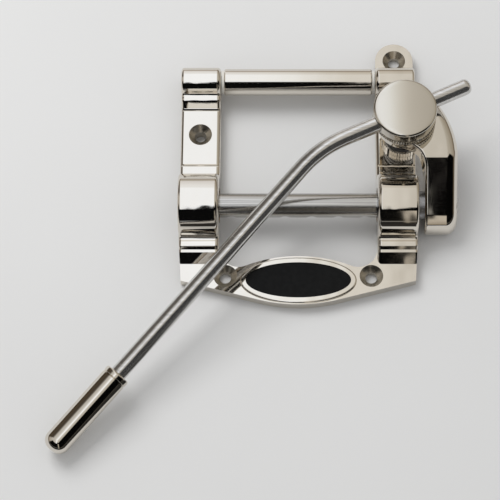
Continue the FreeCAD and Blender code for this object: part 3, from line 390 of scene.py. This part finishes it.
def turned_mesh(profile, spot):
    """Closed mesh turned round the vertical line through spot."""
    around = TEETH * len(TOOTH_SHAPE)
    points = []
    faces = []
    for radius, height, toothed in profile:
        for step in range(around):
            angle = 2 * math.pi * step / around
            out = radius - toothed * TOOTH_DEPTH * TOOTH_SHAPE[step % len(TOOTH_SHAPE)]
            points.append((out * math.cos(angle), out * math.sin(angle), height))
    for row in range(len(profile) - 1):
        low_row = row * around
        high_row = low_row + around
        for step in range(around):
            after = (step + 1) % around
            faces.append((low_row + step, low_row + after, high_row + after, high_row + step))
    foot = len(points)
    points.append((0, 0, profile[0][1]))
    points.append((0, 0, KNOB_TOP))
    top = (len(profile) - 1) * around
    for step in range(around):
        after = (step + 1) % around
        faces.append((foot, after, step))
        faces.append((top + step, top + after, foot + 1))
    mesh = bpy.data.meshes.new("knob")
    mesh.from_pydata([(Vector(point) * MM + spot)[:] for point in points], [], faces)
    mesh.validate()
    return mesh


def cutter(radius, length, start, along):
    """Cylinder from start, to be cut out of the knob."""
    mesh = bpy.data.meshes.new("cutter")
    form = bmesh.new()
    turn = along.to_track_quat("Z", "Y").to_matrix().to_4x4()
    place = Matrix.Translation(start + along * length / 2) @ turn
    bmesh.ops.create_cone(form, cap_ends=True, segments=BORE_SIDES, radius1=radius, radius2=radius,
                          depth=length, matrix=place)
    form.to_mesh(mesh)
    form.free()
    item = bpy.data.objects.new("cutter", mesh)
    SCENE.collection.objects.link(item)
    return item


def add_knob():
    low, high = (Vector(corner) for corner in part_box("swivel_head"))
    middle = (low + high) / 2
    spot = Vector((middle.x, middle.y, high.z - KNOB_TOP * MM))
    knob = bpy.data.objects.new("arm_knob", turned_mesh(knob_profile(), spot))
    SCENE.collection.objects.link(knob)
    along = Vector((-math.cos(ARM_TURN), -math.sin(ARM_TURN), 0))
    across = Vector((along.y, -along.x, 0))
    heart = spot + Vector((0, 0, (KNOB_HEIGHT - BORE_DEPTH) * MM))
    reach = (KNOB_RADIUS + KNOB_DOME) * MM
    tools = [cutter(BORE_RADIUS * MM, 2 * reach, heart - along * reach, along),
             cutter(SCREW_BORE * MM, reach, heart, across)]
    for tool in tools:
        cut = knob.modifiers.new("cut", "BOOLEAN")
        cut.operation = "DIFFERENCE"
        cut.solver = "EXACT"
        cut.object = tool
    bpy.context.view_layer.update()
    graph = bpy.context.evaluated_depsgraph_get()
    shape = bpy.data.meshes.new_from_object(knob.evaluated_get(graph))
    knob.modifiers.clear()
    knob.data = shape
    for tool in tools:
        bpy.data.objects.remove(tool)
    shape.shade_smooth()
    shape.set_sharp_from_angle(angle=KNOB_SHARP)
    shape.materials.clear()
    shape.materials.append(NICKEL_KNOB)
    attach(knob, "swivel")
    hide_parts("swivel_head")


add_knob()


# Coil spring in the part's place, built at rest, in millimetres; the real spring closes up as the
# lever goes down

WIRE_RADIUS = 0.8
COIL_TURNS = 4
COIL_LEAD = 2 * WIRE_RADIUS
COIL_STEPS = 36
WIRE_SIDES = 14
SPRING_SHARP = math.radians(50)


def add_spring():
    low, high = (Vector(corner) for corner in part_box("spring"))
    wire = WIRE_RADIUS * MM
    coil = (high.x - low.x) / 2 - wire
    middle = (low + high) / 2
    lead = COIL_LEAD * MM / coil
    total = 2 * math.pi * COIL_TURNS + 2 * lead
    climb = (high.z - low.z - 2 * wire) / total
    steps = COIL_TURNS * COIL_STEPS
    points = []
    faces = []
    for step in range(steps + 1):
        angle = total * step / steps - lead
        out = Vector((math.cos(angle), math.sin(angle), 0))
        heading = Vector((-coil * out.y, coil * out.x, climb)).normalized()
        up = heading.cross(out)
        spot = Vector((middle.x, middle.y, low.z + wire + climb * (angle + lead))) + out * coil
        for side in range(WIRE_SIDES):
            turn = 2 * math.pi * side / WIRE_SIDES
            points.append((spot + (out * math.cos(turn) + up * math.sin(turn)) * wire)[:])
    for step in range(steps):
        low_row = step * WIRE_SIDES
        high_row = low_row + WIRE_SIDES
        for side in range(WIRE_SIDES):
            after = (side + 1) % WIRE_SIDES
            faces.append((low_row + side, high_row + side, high_row + after, low_row + after))
    faces.append(tuple(range(WIRE_SIDES)))
    faces.append(tuple(reversed(range(steps * WIRE_SIDES, (steps + 1) * WIRE_SIDES))))
    mesh = bpy.data.meshes.new("coil_spring")
    mesh.from_pydata(points, [], faces)
    form = bmesh.new()
    form.from_mesh(mesh)
    bmesh.ops.recalc_face_normals(form, faces=form.faces)
    form.to_mesh(mesh)
    form.free()
    mesh.shade_smooth()
    mesh.set_sharp_from_angle(angle=SPRING_SHARP)
    mesh.materials.append(WIRE)
    spring = bpy.data.objects.new("coil_spring", mesh)
    SCENE.collection.objects.link(spring)
    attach(spring, "base")
    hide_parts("spring")
    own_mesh(spring)


add_spring()


# Floor, lights and surroundings

# a ramp runs from 0 to 1, so coordinates round 0 are moved up by this before it
HALF = 0.5

PAPER_REACH = 3.0
PAPER_DROP = 0.2 * MM
PAPER_END = 0.385
PAPER_EASE = 0.01
PAPER_STEP = 0.07
PAPER_LOW = (0.815, 0.815, 0.81)
PAPER_HIGH = (0.835, 0.835, 0.83)
STUDIO_FLOOR = (0.03, 0.028, 0.026, 1.0)

ROOM_BLACK = 0.003
ROOM_LIFT = 0.16
SOFT_LIGHT = 0.52


def add_floor():
    corners = [(-1, -1), (1, -1), (1, 1), (-1, 1)]
    mesh = bpy.data.meshes.new("floor")
    points = [(x * PAPER_REACH, y * PAPER_REACH, 0) for x, y in corners]
    mesh.from_pydata(points, [], [(0, 1, 2, 3)])
    floor = bpy.data.objects.new("floor", mesh)
    floor.location = (0, 0, -PAPER_DROP)
    SCENE.collection.objects.link(floor)
    material, nodes, shader, place = new_material("floor")
    paper = nodes.ramp(nodes.noise(place, 6.0), [(0.3, PAPER_LOW), (0.7, PAPER_HIGH)])
    # in the metal's reflections the paper ends in front of the object, nearer in the middle,
    # and the studio's dark floor follows
    x, y, _ = nodes.parts(place)
    inner = nodes.ramp(nodes.math("ADD", x, HALF),
                       [(0.44, 0.0), (0.45, 1.0), (0.551, 1.0), (0.554, 0.0)])
    edge = nodes.math("SUBTRACT", nodes.math("ADD", y, HALF), nodes.spread(inner, 0.0, PAPER_STEP))
    cover = nodes.ramp(edge, [(PAPER_END, 0.0), (PAPER_END + PAPER_EASE, 1.0)])
    ray = nodes.add("ShaderNodeLightPath").outputs
    plain = nodes.math("MAXIMUM", ray["Is Camera Ray"], ray["Is Diffuse Ray"])
    colour = nodes.colour_mix(nodes.math("MAXIMUM", cover, plain), STUDIO_FLOOR, paper)
    nodes.feed(shader, Base_Color=colour, Roughness=0.9, Specular_IOR_Level=0.1)
    mesh.materials.append(material)


def add_area(name, spot, target, size, power):
    data = bpy.data.lights.new(name, "AREA")
    data.shape = "RECTANGLE"
    data.size, data.size_y = size
    data.energy = power
    lamp = bpy.data.objects.new(name, data)
    lamp.location = spot
    lamp.visible_glossy = False
    lamp.rotation_euler = (Vector(target) - Vector(spot)).to_track_quat("-Z", "Y").to_euler()
    SCENE.collection.objects.link(lamp)


def camera_side(nodes, height, across):
    """Dark room on the camera's side, and a lit wall to the right of it."""
    # the room reaches higher in the middle and far to the right
    lift = nodes.ramp(across, [(0.448, 0.0), (0.462, 1.0), (0.534, 1.0), (0.54, 0.0),
                               (0.552, 0.0), (0.565, 0.35), (0.65, 0.35), (0.8, 0.7)], smooth=False)
    lowered = nodes.math("SUBTRACT", height, nodes.spread(lift, 0.0, ROOM_LIFT), clamp=True)
    dark = nodes.ramp(lowered, [(0.0, ROOM_BLACK), (0.565, ROOM_BLACK), (0.585, 1.0)])
    # a dim strip runs along the room's foot
    strip = nodes.ramp(height, [(0.03, 0.0), (0.05, 0.2), (0.085, 0.2), (0.105, 0.0)])
    room = nodes.colour_mix(1.0, dark, strip, "ADD")
    wall = nodes.ramp(height, [(0.0, (0.6, 0.55, 0.48)), (0.3, (0.92, 0.875, 0.81)),
                               (0.5, (0.92, 0.875, 0.81)), (0.535, 0.002), (0.64, 0.002),
                               (0.66, 1.0)])
    beside = nodes.ramp(across, [(0.5635, 0.0), (0.5665, 1.0), (0.62, 1.0), (0.7, 0.0)],
                        smooth=False)
    return nodes.colour_mix(beside, room, wall)


def far_side(nodes, height, aside):
    """Bright wall behind the object, and a dark one on the left."""
    back = nodes.ramp(height, [(0.0, (0.5, 0.46, 0.4)), (0.05, (0.36, 0.31, 0.25)),
                               (0.12, (0.45, 0.4, 0.34)), (0.2, (0.76, 0.72, 0.68)),
                               (0.47, (0.88, 0.86, 0.83)), (0.56, 1.0), (0.8, 1.0)])
    left = nodes.ramp(height, [(0.0, (0.13, 0.1, 0.07)), (0.52, (0.12, 0.1, 0.08)),
                               (0.6, (0.3, 0.28, 0.26)), (0.72, 0.95), (0.8, 1.0)])
    left_share = nodes.ramp(aside, [(0.3, 0.0), (0.55, 1.0), (0.85, 1.0), (0.97, 0.0)])
    return nodes.colour_mix(left_share, back, left)


def sideways(nodes, across):
    """Brightness from left to right, highest a little left of the middle."""
    return nodes.ramp(across, [(0.0, (0.62, 0.6, 0.57)), (0.22, (0.65, 0.64, 0.62)),
                               (0.33, 0.88), (0.42, (1.14, 1.18, 1.25)),
                               (0.455, (1.17, 1.23, 1.33)), (0.5, (1.1, 1.14, 1.18)),
                               (0.525, (0.87, 0.86, 0.83)), (0.552, (0.81, 0.79, 0.75)),
                               (0.57, (0.68, 0.655, 0.61)), (0.8, (0.5, 0.47, 0.41)),
                               (1.0, (0.5, 0.47, 0.41))], smooth=False)


def add_world():
    """Studio round the object that metal mirrors, over one even soft light for everything else."""
    world = bpy.data.worlds.new("studio")
    world.use_nodes = True
    SCENE.world = world
    nodes = Nodes(world.node_tree)
    x, y, z = nodes.parts(nodes.add("ShaderNodeTexCoord").outputs["Generated"])
    # height above the horizon, from 0 at the horizon to 1 at the zenith
    height = nodes.math("DIVIDE", nodes.math("ARCSINE", z), math.pi / 2, clamp=True)
    across = nodes.math("ADD", x, HALF)
    # bearing round the zenith, as shares of the camera's side and of the left side
    squares = nodes.math("ADD", nodes.math("MULTIPLY", x, x), nodes.math("MULTIPLY", y, y))
    level = nodes.math("SQRT", squares)
    toward = nodes.math("DIVIDE", nodes.math("MULTIPLY", y, -1.0), level)
    aside = nodes.math("DIVIDE", nodes.math("MULTIPLY", x, -1.0), level)
    share = nodes.ramp(toward, [(0.1, 0.0), (0.3, 1.0)])
    far, near = far_side(nodes, height, aside), camera_side(nodes, height, across)
    walls = nodes.colour_mix(share, far, near)
    studio = nodes.colour_mix(1.0, walls, sideways(nodes, across), "MULTIPLY")
    mirrored = nodes.feed(nodes.add("ShaderNodeBackground"), Color=studio, Strength=1.0)
    plain = nodes.feed(nodes.add("ShaderNodeBackground"), Color=(1.0, 1.0, 1.0, 1.0),
                       Strength=SOFT_LIGHT)
    ray = nodes.add("ShaderNodeLightPath").outputs
    seen = nodes.math("MAXIMUM", ray["Is Glossy Ray"], ray["Is Transmission Ray"])
    choice = nodes.add("ShaderNodeMixShader")
    for value, socket in ((seen, 0), (plain.outputs[0], 1), (mirrored.outputs[0], 2)):
        nodes.into(value, choice.inputs[socket])
    nodes.into(choice.outputs[0], nodes.add("ShaderNodeOutputWorld").inputs["Surface"])


add_floor()
add_world()
add_area("key", (-0.42, 0.5, 0.85), (0, 0.04, 0), (0.6, 0.6), 5.2)

SCENE.view_settings.view_transform = "Standard"
